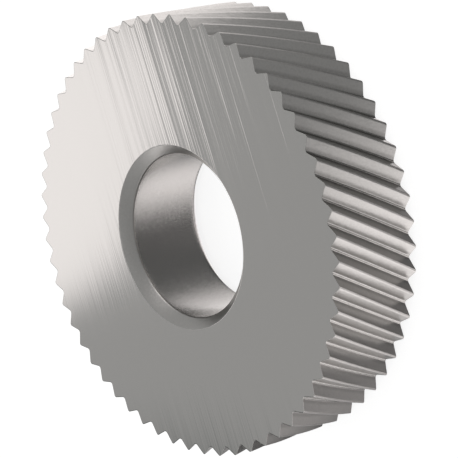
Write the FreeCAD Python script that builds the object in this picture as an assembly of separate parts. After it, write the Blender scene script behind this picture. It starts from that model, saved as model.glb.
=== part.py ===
import FreeCAD, Part

import math
import os

# Knurling wheel: one ring of hard steel with helical V teeth round its rim.
# Millimetres. The axis is Z, the back face lies on Z = 0, and the front face is up.

# Blank
outer_diameter = 21.5
width = 5.0

# Bore, with the same chamfer at both mouths: its length along the axis, and its slope to the axis
bore_diameter = 8.0
chamfer = 0.5
chamfer_angle = 45.0

# Teeth: the grooves are ground into the blank, and a narrow land of it is left on each tip.
# The helix is right-hand: a tooth turns counter-clockwise, seen from the front, as it climbs.
tooth_count = 58
helix_angle = 27.5
groove_angle = 90.0
tip_land = 0.10
root_radius = 0.15

# Sections that each tooth surface is carried through on its way up the helix
helix_sections = 5

# How far the boring tool runs past a face
overrun = 1.0

# Radii and angles that follow from those sizes. These angles are in radians.
tip_circle = outer_diameter / 2
bore_radius = bore_diameter / 2
pitch = 2 * math.pi / tooth_count
half_land = tip_land / outer_diameter
helix_tangent = math.tan(math.radians(helix_angle))

# The groove angle is measured square to the teeth. The outline lies square to the axis, where
# the same groove is wider.
groove_half = math.atan(math.tan(math.radians(groove_angle / 2)) / math.cos(math.radians(helix_angle)))

axis = FreeCAD.Vector(0, 0, 1)
centre = FreeCAD.Vector(0, 0, 0)


def polar(radius, angle):
    """A point in the base plane."""
    return FreeCAD.Vector(radius * math.cos(angle), radius * math.sin(angle), 0)


def root_centre_radius():
    """Distance from the axis to the centre of a root's rounding.

    The flank starts at the edge of the tip's land and slopes in by groove_half from the radius
    through the root. The rounding touches it.
    """
    land_edge = pitch / 2 - half_land
    flank_foot = tip_circle * math.cos(land_edge) - tip_circle * math.sin(land_edge) / math.tan(groove_half)
    return flank_foot + root_radius / math.sin(groove_half)


def groove_points(middle):
    """The points round the groove whose root is at this angle.

    They are the edge of a land, the foot of the flank, the root, the foot of the next flank and
    the edge of the next land.
    """
    centre_radius = root_centre_radius()
    root_centre = polar(centre_radius, middle)
    foot_turn = math.pi / 2 + groove_half
    return [
        polar(tip_circle, middle - pitch / 2 + half_land),
        root_centre + polar(root_radius, middle - foot_turn),
        polar(centre_radius - root_radius, middle),
        root_centre + polar(root_radius, middle + foot_turn),
        polar(tip_circle, middle + pitch / 2 - half_land),
    ]


def tooth_edges(number):
    """The outline of one tooth's share of the rim: its land, a flank, the root and the next flank.

    The land is so narrow that a straight line serves for its arc of the outer circle.
    """
    tip = pitch * number
    land_edge, foot, root, next_foot, next_edge = groove_points(tip + pitch / 2)
    return [
        Part.LineSegment(polar(tip_circle, tip - half_land), land_edge).toShape(),
        Part.LineSegment(land_edge, foot).toShape(),
        Part.Arc(foot, root, next_foot).toShape(),
        Part.LineSegment(next_foot, next_edge).toShape(),
    ]


def climbed(shape, height):
    """A copy of the shape, carried up the helix to this height."""
    copy = shape.copy()
    copy.rotate(centre, axis, math.degrees(height * helix_tangent / tip_circle))
    copy.translate(axis * height)
    return copy


def helical_surface(edge):
    """The surface that one edge of the outline leaves as it climbs from face to face.

    Each edge climbs by itself, because a loft of the whole outline would join each tooth to the
    nearest one above it instead of to its own.
    """
    wire = Part.Wire(edge)
    steps = helix_sections - 1
    sections = [climbed(wire, width * step / steps) for step in range(helix_sections)]
    return Part.makeLoft(sections, False, False).Faces


def toothed_blank():
    """The solid ring before boring: helical surfaces round the rim, closed by two flat faces."""
    edges = [edge for number in range(tooth_count) for edge in tooth_edges(number)]
    outline = Part.Wire(edges)
    faces = [Part.Face(outline), Part.Face(climbed(outline, width))]
    for edge in edges:
        faces.extend(helical_surface(edge))
    shell = Part.makeShell(faces)
    shell.sewShape()
    return Part.makeSolid(shell)


def boring_tool():
    """What is turned out of the middle: the bore, and the chamfer at each mouth."""
    slope = math.tan(math.radians(chamfer_angle))
    mouth_radius = bore_radius + (chamfer + overrun) * slope
    corners = [
        (0, -overrun),
        (mouth_radius, -overrun),
        (bore_radius, chamfer),
        (bore_radius, width - chamfer),
        (mouth_radius, width + overrun),
        (0, width + overrun),
        (0, -overrun),
    ]
    outline = Part.makePolygon([FreeCAD.Vector(radius, 0, height) for radius, height in corners])
    return Part.Face(outline).revolve(centre, axis, 360)


wheel = toothed_blank().cut(boring_tool()).Solids[0]

os.makedirs("parts", exist_ok=True)
wheel.exportStep("parts/knurling_wheel.step")
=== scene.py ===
import math

import bpy
from mathutils import Matrix, Vector


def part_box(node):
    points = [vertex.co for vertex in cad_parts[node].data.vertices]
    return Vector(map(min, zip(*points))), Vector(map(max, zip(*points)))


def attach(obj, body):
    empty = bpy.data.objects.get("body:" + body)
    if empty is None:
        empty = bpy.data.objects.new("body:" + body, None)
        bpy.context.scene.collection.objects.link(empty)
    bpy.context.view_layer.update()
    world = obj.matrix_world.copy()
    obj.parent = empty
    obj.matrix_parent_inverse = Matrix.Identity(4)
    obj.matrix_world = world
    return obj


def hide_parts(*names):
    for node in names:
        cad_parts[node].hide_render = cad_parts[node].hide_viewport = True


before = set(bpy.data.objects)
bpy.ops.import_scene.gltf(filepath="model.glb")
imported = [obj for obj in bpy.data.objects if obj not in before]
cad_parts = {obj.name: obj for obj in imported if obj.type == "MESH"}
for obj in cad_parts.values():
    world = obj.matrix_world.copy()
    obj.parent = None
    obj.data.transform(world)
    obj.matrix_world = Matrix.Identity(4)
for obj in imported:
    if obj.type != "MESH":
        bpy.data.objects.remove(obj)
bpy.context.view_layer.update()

# The knurling wheel as it looks: one fine mesh over the part, its steel, and the studio round it.
# Lengths are in metres and angles in radians, apart from those that a comment gives otherwise.
MM = 0.001

# Outer sizes, from the part's box in the frame
node = "knurling_wheel"
far_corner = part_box(node)[1]
tip_circle = far_corner.x
width = far_corner.z

# Bore and teeth, as the part has them
bore_radius = 4.0 * MM
chamfer = 0.5 * MM
tooth_count = 58
helix_angle = math.radians(27.5)
groove_angle = math.radians(90)
tip_land = 0.10 * MM
root_radius = 0.15 * MM

# Fine roundings that catch the light along every edge of the real steel: how far each reaches
# along its two sides. The lands of the tips have worn fully round, so they need no size of their own.
end_rounding = 0.006 * MM
mouth_rounding = 0.012 * MM
bore_edge_rounding = 0.08 * MM

# A ring this far beyond the roundings at the edges of the flat faces keeps the surface true up to them
holding_ring = 0.03 * MM

# How finely the mesh is divided: steps round each rounding, up the teeth, and along half the bore
land_steps = 4
root_steps = 4
end_steps = 3
mouth_steps = 4
climb_steps = 12
bore_steps = 8

# What follows from those sizes: angles at the axis, the helix's turn to each metre of height, and
# half the groove's angle in the outline, which lies square to the axis
pitch = 2 * math.pi / tooth_count
half_land = tip_land / 2 / tip_circle
twist = math.tan(helix_angle) / tip_circle
groove_half = math.atan(math.tan(groove_angle / 2) / math.cos(helix_angle))

# Camera, as the photograph was taken: looking down on the wheel, and turned so that the axis
# points to the left. The picture is square. Angles in degrees, and the sensor in millimetres.
image_width = 458
focal_pixels = 2030
sensor_width = 36
camera_azimuth = -89.06
camera_elevation = 40.63
camera_roll = -104.25
camera_distance = 98.25 * MM
camera_nearest = 1 * MM
look_at = Vector((-0.166, -0.814, 2.5)) * MM

# Floor and backdrop: how far they reach from the axis, and how high the backdrop stands
stage_reach = 0.7
backdrop_height = 0.25
backdrop_sides = 96

# Their white paper: how much light it returns, and how much it gives off by itself
paper_grey = 0.4
paper_glow = 0.82

# The steel is darker where it is dull, and where shade is painted at the foot of each tooth flank. A
# finish's share of the dull colour says how dull it is.
steel_colour = (0.449, 0.442, 0.428, 1)
dull_and_shaded_steel_colour = (0.12, 0.117, 0.11, 1)

# Each noise in the steel has a detail, which is how many finer layers of itself lie over it. The
# grit is how strong each layer is beside the one before. Noise runs from nothing to one.
plain_grit = 0.5
noise_middle = 0.5

# Ground faces: straight marks that all run this way from +X, in degrees. There are so many to a
# millimetre across the grain, and so many along it. Each leans the surface by its slope. The broad
# and the fine marks are cut at their own depths of the noise, so that their patterns differ.
grain_angle = 4.8
broad_marks = (1.5, 0.04)
broad_depth = 0
broad_detail = 2
broad_slope = 0.007
fine_marks = (14, 0.05)
fine_depth = 7
fine_detail = 3
fine_grit = 0.7
fine_slope = 0.058

# The few deep marks are the fine ones to one side of level, sharpened by a power. They lean the
# surface most, and all to the same side.
deep_power = 3
deep_slope = 3.0

# How rough and how dull the ground faces are, and how far the fine marks vary both
face_roughness = 0.07
face_roughness_spread = 0.05
face_dullness = 0.02
face_dullness_spread = 0.04

# Ground teeth: short marks along the helix. There are so many to a millimetre in X, in Y and up the
# helix, and they lean the surface this much in X, Y and Z.
tooth_marks = (24, 24, 5)
tooth_detail = 2
tooth_lean = (0.16, 0.16, 0.06)
tooth_roughness = 0.29
tooth_dullness = 0.03
tooth_dullness_spread = 0.35

# The foot of each flank is painted darker, as the shade in the groove, from the first of its radii in to
# the second, in millimetres.
# Further in, the root is polished, and bare of that painted shade.
foot_shade_radii = (10.50, 10.38)
foot_painted_shade = 0.3
root_radii = (10.318, 10.33)
root_roughness = 0.18

# Fine mottling of the teeth, the mouths and the hole: so many spots to a millimetre
spots = 11
spot_detail = 1

# Turned mouths and bored hole: fine rings round the axis under a satin grain, so many of each to a
# millimetre, and how far each leans the surface
ring_marks = 14
ring_detail = 3
ring_lean = 0.06
satin_marks = 21
satin_detail = 1
satin_lean = 0.22

# How rough and how dull they are, and how far the rings and the spots vary that
ring_roughness_spread = 0.02
bore_dullness_spread = 0.2
mouth_roughness = 0.32
mouth_dullness = 0.115
bore_roughness = 0.25
bore_dullness = 0.03

# Main light: a round soft box. Where it stands, and how far it reaches from its middle with its
# full light and in all, in degrees. Its strength is a radiance.
key_azimuth = 86.0
key_elevation = 34.55
key_full = 4.3
key_edge = 5.8
key_strength = 1.13

# Square soft box overhead, which also gives the shadow
overhead_distance = 0.5
overhead_side = 0.4
overhead_radiance = 0.7

# Light of the plain studio: its level below and above, how far a unit ray climbs where each is
# reached, and how much brighter it is towards +Y
low_level = 0.094
high_level = 0.507
low_slope = -0.918
high_slope = -0.200
level_towards_y = 0.138

# The main light and the panels are a trace redder than the plain light
lamp_tint = (1.052, 1, 1)

# Soft panels and dark gaps round the wheel, in degrees and radiance: azimuth, elevation, reach
# around, reach up and down, strength
soft_panels = [
    (-173, -30, 75, 38, 1.90),
    (-21, 3, 36, 43, 1.90),
    (27, -22, 56, 31, 1.90),
    (-175, -51, 89, 6, -1.06),
    (-180, -35, 137, 5, -1.18),
    (-119, -58, 103, 16, 1.90),
    (76, -66, 54, 79, 1.62),
    (146, 3, 79, 10, 1.89),
    (105, 34, 10, 9, -1.17),
]

# The finishes of the steel, in the order of the mesh's materials
teeth, face, turned_mouth, bore = range(4)


def direction(azimuth, elevation):
    """The unit vector that points at this azimuth and elevation, in degrees."""
    around, up = math.radians(azimuth), math.radians(elevation)
    return Vector((math.cos(up) * math.cos(around), math.cos(up) * math.sin(around), math.sin(up)))


def add_camera():
    """The camera, where the photograph was taken from."""
    camera = bpy.data.objects.new("camera", bpy.data.cameras.new("camera"))
    bpy.context.collection.objects.link(camera)
    camera.data.sensor_width = sensor_width
    camera.data.lens = focal_pixels * sensor_width / image_width
    camera.data.clip_start = camera_nearest
    towards = direction(camera_azimuth, camera_elevation)
    turn = towards.to_track_quat("Z", "Y").to_matrix() @ Matrix.Rotation(math.radians(camera_roll), 3, "Z")
    camera.matrix_world = Matrix.Translation(look_at + towards * camera_distance) @ turn.to_4x4()
    bpy.context.scene.camera = camera


def polar(radius, angle):
    """A point of the plane."""
    return Vector((radius * math.cos(angle), radius * math.sin(angle)))


def turned(point, angle):
    """A point of the plane, turned about the axis."""
    return Matrix.Rotation(angle, 2) @ point


def rounded_corner(before, corner, after, reach, steps):
    """The points of the arc that rounds a corner and reaches this far along both its straight sides."""
    back, ahead = (before - corner).normalized(), (after - corner).normalized()
    half = back.angle(ahead) / 2
    centre = corner + (back + ahead).normalized() * reach / math.cos(half)
    start = corner + back * reach
    turn = math.copysign(math.pi - 2 * half, ahead.cross(back))
    return [centre + turned(start - centre, turn * step / steps) for step in range(steps + 1)]


def half_tooth():
    """The outline from the middle of a tooth's land, on the X axis, to the next root."""
    land_edge = pitch / 2 - half_land
    flank_foot = tip_circle * math.cos(land_edge) - tip_circle * math.sin(land_edge) / math.tan(groove_half)
    root_centre = polar(flank_foot + root_radius / math.sin(groove_half), pitch / 2)
    foot_turn = math.pi / 2 + groove_half
    root = [
        root_centre + polar(root_radius, pitch / 2 - foot_turn - (math.pi - foot_turn) * step / root_steps)
        for step in range(root_steps + 1)
    ]
    tip = Vector((tip_circle * math.cos(half_land), 0))
    land = rounded_corner(tip, polar(tip_circle, half_land), root[0], tip_land / 2, land_steps)
    return land + root


def outline():
    """The closed outline of the teeth, square to the axis, at the back face."""
    half = half_tooth()
    mirrored = [Vector((point.x, -point.y)) for point in reversed(half[1:])]
    tooth = mirrored + half[:-1]
    return [turned(point, pitch * number) for number in range(tooth_count) for point in tooth]


def outward(points):
    """The outward normal at each point of a closed outline that runs counter-clockwise."""
    following = points[1:] + points[:1]
    sides = [(after - point).normalized() for point, after in zip(points, following)]
    normals = []
    for number, side in enumerate(sides):
        along = side + sides[number - 1]
        normals.append(Vector((along.y, -along.x)).normalized())
    return normals


def rim_levels():
    """How far the teeth stand in from their full outline, and how high, from the back to the front."""
    turns = [math.pi / 2 * step / end_steps for step in range(end_steps + 1)]
    back = [(end_rounding + holding_ring, 0)]
    back += [(end_rounding * (1 - math.sin(turn)), end_rounding * (1 - math.cos(turn))) for turn in turns]
    low = end_rounding + holding_ring
    climb = [(0, low + (width - 2 * low) * step / climb_steps) for step in range(climb_steps + 1)]
    return back + climb + [(inset, width - height) for inset, height in reversed(back)]


def bored_section():
    """The section of the mouths and the bore, from front to back, with the finish after each point."""
    mouth = Vector((bore_radius + chamfer, width))
    on_face = mouth + Vector((chamfer, 0))
    edge = Vector((bore_radius, width - chamfer))
    middle = Vector((bore_radius, width / 2))
    outer = rounded_corner(on_face, mouth, edge, mouth_rounding, mouth_steps)
    inner = rounded_corner(mouth, edge, middle, bore_edge_rounding, mouth_steps)
    wall = [inner[-1].lerp(middle, step / bore_steps) for step in range(bore_steps)]
    front = [(outer[0] + Vector((holding_ring, 0)), face)]
    front += [(point, turned_mouth) for point in outer + inner[:-1]]
    front += [(point, bore) for point in wall]
    back = [(Vector((point.x, width - point.y)), finish) for point, finish in reversed(front)]
    return front + [(middle, bore)] + back


def rim_rings():
    """The rings of the toothed rim, from back to front, each with the finish of the strip after it.

    The first strip and the last two lie on the flat faces.
    """
    full = outline()
    normals = outward(full)
    levels = rim_levels()
    finishes = [face] + [teeth] * (len(levels) - 3) + [face, face]
    return [
        ([point - normal * inset for point, normal in zip(full, normals)], height, finish)
        for (inset, height), finish in zip(levels, finishes)
    ]


def bored_rings():
    """The rings of the mouths and the bore, with a point on every spoke of the outline."""
    spokes = [point.normalized() for point in outline()]
    return [([spoke * point.x for spoke in spokes], point.y, finish) for point, finish in bored_section()]


def wheel_mesh():
    """One closed grid: rings of points that follow the wheel's section, each turned up the helix."""
    points, faces, finishes = [], [], []
    rings = rim_rings() + bored_rings()
    count = len(rings[0][0])
    for level, (ring, height, finish) in enumerate(rings):
        points.extend(Vector((*turned(point, twist * height), height)) for point in ring)
        first, second = level * count, (level + 1) % len(rings) * count
        for column in range(count):
            after = (column + 1) % count
            faces.append((first + column, first + after, second + after, second + column))
        finishes.extend([finish] * count)
    return points, faces, finishes


def add_wheel():
    """The wheel's mesh with its four finishes. It stands in for the part's node."""
    points, faces, finishes = wheel_mesh()
    mesh = bpy.data.meshes.new("wheel")
    mesh.from_pydata(points, [], faces)
    mesh.materials.append(tooth_steel())
    mesh.materials.append(face_steel())
    mesh.materials.append(turned_steel("turned mouth", mouth_roughness, mouth_dullness))
    mesh.materials.append(turned_steel("bored hole", bore_roughness, bore_dullness))
    mesh.polygons.foreach_set("material_index", finishes)
    mesh.polygons.foreach_set("use_smooth", [True] * len(faces))
    mesh.update()
    wheel = bpy.data.objects.new("wheel", mesh)
    bpy.context.collection.objects.link(wheel)
    wheel.modifiers.new("flat faces stay flat", "WEIGHTED_NORMAL")
    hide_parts(node)
    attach(wheel, "root")


class Nodes:
    """Short calls for building the nodes of a material or of the world."""

    def __init__(self, owner, shader):
        owner.use_nodes = True
        self.owner = owner
        self.tree = owner.node_tree
        self.shader = self.tree.nodes[shader]

    def link(self, source, socket):
        """Feed a socket from another node, or with a fixed value."""
        if isinstance(source, bpy.types.NodeSocket):
            self.tree.links.new(source, socket)
        else:
            socket.default_value = source

    def add(self, kind, *inputs, **settings):
        """A node with these settings and inputs, in order. None leaves an input as it is."""
        made = self.tree.nodes.new(kind)
        for key, value in settings.items():
            setattr(made, key, value)
        for source, socket in zip(inputs, made.inputs):
            if source is not None:
                self.link(source, socket)
        return made

    def math(self, operation, *inputs):
        return self.add("ShaderNodeMath", *inputs, operation=operation).outputs[0]

    def vector(self, operation, *inputs, output=0):
        return self.add("ShaderNodeVectorMath", *inputs, operation=operation).outputs[output]

    def millimetres(self):
        """Where the point is on the wheel, in millimetres."""
        place = self.add("ShaderNodeTexCoord").outputs["Object"]
        return self.scaled(place, 1 / MM)

    def along(self, place, towards):
        """How far the place lies in a fixed direction."""
        return self.vector("DOT_PRODUCT", place, tuple(towards), output=1)

    def height(self, place):
        """How far up the axis the place lies."""
        return self.along(place, (0, 0, 1))

    def radius(self, place):
        """How far the place lies from the axis."""
        return self.vector("LENGTH", self.vector("MULTIPLY", place, (1, 1, 0)), output=1)

    def section(self, place):
        """The place as its radius and height, so that a pattern runs in rings round the axis."""
        return self.add("ShaderNodeCombineXYZ", self.radius(place), self.height(place)).outputs[0]

    def texture(self, place, detail, grit=plain_grit):
        """The noise texture, at a place whose coordinates are in noise cells."""
        texture = self.add("ShaderNodeTexNoise", place)
        texture.inputs["Scale"].default_value = 1
        texture.inputs["Detail"].default_value = detail
        texture.inputs["Roughness"].default_value = grit
        return texture

    def noise(self, place, detail, grit=plain_grit):
        """Noise about zero."""
        return self.math("SUBTRACT", self.texture(place, detail, grit).outputs[0], noise_middle)

    def cells(self, place, detail):
        """Three noises about zero at once, as a vector."""
        colour = self.texture(place, detail).outputs["Color"]
        return self.vector("SUBTRACT", colour, (noise_middle, noise_middle, noise_middle))

    def strokes(self, across, along, marks, depth, detail, grit=plain_grit):
        """Noise about zero that is drawn out into strokes, with a pattern of its own at each depth."""
        x = self.math("MULTIPLY", across, marks[0])
        y = self.math("MULTIPLY", along, marks[1])
        return self.noise(self.add("ShaderNodeCombineXYZ", x, y, depth).outputs[0], detail, grit)

    def ramp(self, value, start, end):
        """A smooth climb from nothing at the start to one at the end."""
        return self.add("ShaderNodeMapRange", value, start, end, interpolation_type="SMOOTHSTEP").outputs[0]

    def mixed(self, share, first, second):
        """The first colour, with this share of the second.

        The node has a set of sockets for each kind of value. Those with a number here are the colours.
        """
        mix = self.add("ShaderNodeMix", data_type="RGBA")
        self.link(share, mix.inputs["Factor"])
        self.link(first, mix.inputs[6])
        self.link(second, mix.inputs[7])
        return mix.outputs[2]

    def uneven(self, variation, spread, dark_share):
        """The steel's colour at this share of the dull colour, give or take the spread of the variation
        about zero.
        """
        share = self.math("MULTIPLY_ADD", variation, spread, dark_share)
        return self.mixed(share, steel_colour, dull_and_shaded_steel_colour)

    def mottled(self, place, spread, dark_share):
        """The steel's colour at this share of the dull colour, with spots that are more and less dull."""
        return self.uneven(self.noise(self.scaled(place, spots), spot_detail), spread, dark_share)

    def scaled(self, vector, factor):
        """The vector times one number."""
        scale = self.add("ShaderNodeVectorMath", vector, operation="SCALE")
        self.link(factor, scale.inputs["Scale"])
        return scale.outputs[0]

    def tilt(self, lean):
        """Lean the surface normal by this vector."""
        normal = self.add("ShaderNodeNewGeometry").outputs["Normal"]
        self.set("Normal", self.vector("NORMALIZE", self.vector("ADD", normal, lean)))

    def set(self, name, source):
        """Feed this input of the shader."""
        self.link(source, self.shader.inputs[name])


def steel(name, roughness):
    """A material of plain steel, to which a finish adds its marks."""
    nodes = Nodes(bpy.data.materials.new(name), "Principled BSDF")
    nodes.set("Base Color", steel_colour)
    nodes.set("Metallic", 1)
    nodes.set("Roughness", roughness)
    return nodes


def grinding_marks(nodes):
    """How much the marks of the flat faces lean the surface, and the fine marks by themselves."""
    place = nodes.millimetres()
    along = nodes.along(place, direction(grain_angle, 0))
    across = nodes.along(place, direction(grain_angle + 90, 0))
    broad = nodes.strokes(across, along, broad_marks, broad_depth, broad_detail)
    fine = nodes.strokes(across, along, fine_marks, fine_depth, fine_detail, fine_grit)
    deep = nodes.math("POWER", nodes.math("MAXIMUM", fine, 0), deep_power)
    slope = nodes.math("MULTIPLY", broad, broad_slope)
    slope = nodes.math("MULTIPLY_ADD", fine, fine_slope, slope)
    return nodes.math("MULTIPLY_ADD", deep, deep_slope, slope), fine


def face_steel():
    """Surface-ground flat faces: straight marks, which lean the surface across the grain."""
    nodes = steel("ground face", face_roughness)
    slope, fine = grinding_marks(nodes)
    nodes.tilt(nodes.scaled(direction(grain_angle + 90, 0), slope))
    nodes.set("Base Color", nodes.uneven(fine, face_dullness_spread, face_dullness))
    nodes.set("Roughness", nodes.math("MULTIPLY_ADD", fine, face_roughness_spread, face_roughness))
    return nodes.owner


def tooth_steel():
    """Ground teeth: fine marks along the helix, painted shade along the foot of each flank, and bright
    roots.
    """
    nodes = steel("ground teeth", tooth_roughness)
    place = nodes.millimetres()
    above_root = nodes.ramp(nodes.radius(place), *root_radii)
    # Painted shade: the flanks are darkened towards the root of each groove, where they shade each other,
    # and the root's own rounding is left bare of it
    foot = nodes.math("MULTIPLY", nodes.ramp(nodes.radius(place), *foot_shade_radii), above_root)
    unwound = nodes.add("ShaderNodeVectorRotate", place, None, None, rotation_type="Z_AXIS")
    nodes.link(nodes.math("MULTIPLY", nodes.height(place), -twist * MM), unwound.inputs["Angle"])
    marks = nodes.cells(nodes.vector("MULTIPLY", unwound.outputs[0], tooth_marks), tooth_detail)
    nodes.tilt(nodes.vector("MULTIPLY", marks, tooth_lean))
    # The teeth's own dullness, with the painted shade at the foot of each flank added to it
    dark_share = nodes.math("MULTIPLY_ADD", foot, foot_painted_shade, tooth_dullness)
    nodes.set("Base Color", nodes.mottled(place, tooth_dullness_spread, dark_share))
    rougher = tooth_roughness - root_roughness
    nodes.set("Roughness", nodes.math("MULTIPLY_ADD", above_root, rougher, root_roughness))
    return nodes.owner


def turned_steel(name, roughness, dark_share):
    """Turned and bored surfaces: fine rings round the axis, under an even satin grain."""
    nodes = steel(name, roughness)
    place = nodes.millimetres()
    rings = nodes.noise(nodes.scaled(nodes.section(place), ring_marks), ring_detail)
    satin = nodes.scaled(nodes.cells(nodes.scaled(place, satin_marks), satin_detail), satin_lean)
    ridges = nodes.scaled((0, 0, 1), nodes.math("MULTIPLY", rings, ring_lean))
    nodes.tilt(nodes.vector("ADD", ridges, satin))
    nodes.set("Base Color", nodes.mottled(place, bore_dullness_spread, dark_share))
    nodes.set("Roughness", nodes.math("MULTIPLY_ADD", rings, ring_roughness_spread, roughness))
    return nodes.owner


def paper():
    """White paper, lit from behind like a light table."""
    nodes = Nodes(bpy.data.materials.new("paper"), "Principled BSDF")
    nodes.set("Base Color", (paper_grey, paper_grey, paper_grey, 1))
    nodes.set("Roughness", 1)
    nodes.set("Specular IOR Level", 0)
    nodes.set("Emission Color", (1, 1, 1, 1))
    nodes.set("Emission Strength", paper_glow)
    return nodes.owner


def add_stage():
    """The floor, and a low backdrop round it, of which half is below the floor.

    The steel mirrors neither, and the backdrop neither lights nor shades anything.
    """
    bpy.ops.mesh.primitive_plane_add(size=2 * stage_reach)
    floor = bpy.context.object
    floor.name = "floor"
    bpy.ops.mesh.primitive_cylinder_add(
        vertices=backdrop_sides, radius=stage_reach, depth=2 * backdrop_height, end_fill_type="NOTHING"
    )
    backdrop = bpy.context.object
    backdrop.name = "backdrop"
    backdrop.visible_diffuse = False
    backdrop.visible_shadow = False
    material = paper()
    for piece in (floor, backdrop):
        piece.visible_glossy = False
        piece.data.materials.append(material)


def add_overhead_light():
    """The soft box overhead. It faces down, and its radiance is what a mirror would show of it."""
    light = bpy.data.lights.new("overhead", "AREA")
    light.size = overhead_side
    light.energy = overhead_radiance * math.pi * overhead_side**2
    box = bpy.data.objects.new("overhead", light)
    box.location.z = overhead_distance
    bpy.context.collection.objects.link(box)


def faded(nodes, value, none, full, strength):
    """Light that climbs smoothly from nothing to its strength between two values."""
    return nodes.math("MULTIPLY", nodes.ramp(value, none, full), strength)


def panel(nodes, towards, azimuth, elevation, reach_around, reach_up, strength):
    """A soft panel of the surround: brightest in its middle, and gone at its reach. Angles in degrees."""
    ahead = nodes.along(towards, direction(azimuth, 0))
    aside = nodes.along(towards, direction(azimuth + 90, 0))
    around = nodes.math("ARCTAN2", aside, ahead)
    up = nodes.math("SUBTRACT", nodes.math("ARCSINE", nodes.height(towards)), math.radians(elevation))
    x = nodes.math("DIVIDE", around, math.radians(reach_around))
    y = nodes.math("DIVIDE", up, math.radians(reach_up))
    share = nodes.vector("LENGTH", nodes.add("ShaderNodeCombineXYZ", x, y).outputs[0], output=1)
    return faded(nodes, share, 1, 0, strength)


def key_light(nodes, towards):
    """The main light: a round soft box with a soft edge."""
    facing = nodes.along(towards, direction(key_azimuth, key_elevation))
    edge, full = math.cos(math.radians(key_edge)), math.cos(math.radians(key_full))
    return faded(nodes, facing, edge, full, key_strength)


def plain_studio(nodes, towards):
    """The plain light of the studio, dim below, and a little brighter towards +Y."""
    climb = nodes.ramp(nodes.height(towards), low_slope, high_slope)
    level = nodes.math("MULTIPLY_ADD", climb, high_level - low_level, low_level)
    return nodes.math("MULTIPLY_ADD", nodes.along(towards, (0, 1, 0)), level_towards_y, level)


def add_surround():
    """The studio round the wheel: its plain light, the main light and the panels, never below black."""
    world = bpy.data.worlds.new("studio")
    bpy.context.scene.world = world
    nodes = Nodes(world, "Background")
    towards = nodes.add("ShaderNodeTexCoord").outputs["Generated"]
    lamps = key_light(nodes, towards)
    for shape in soft_panels:
        lamps = nodes.math("ADD", lamps, panel(nodes, towards, *shape))
    plain = nodes.scaled((1, 1, 1), plain_studio(nodes, towards))
    light = nodes.vector("ADD", plain, nodes.scaled(lamp_tint, lamps))
    nodes.set("Color", nodes.vector("MAXIMUM", light, (0, 0, 0)))


add_wheel()
add_stage()
add_camera()
add_surround()
add_overhead_light()
bpy.context.scene.view_settings.view_transform = "Standard"
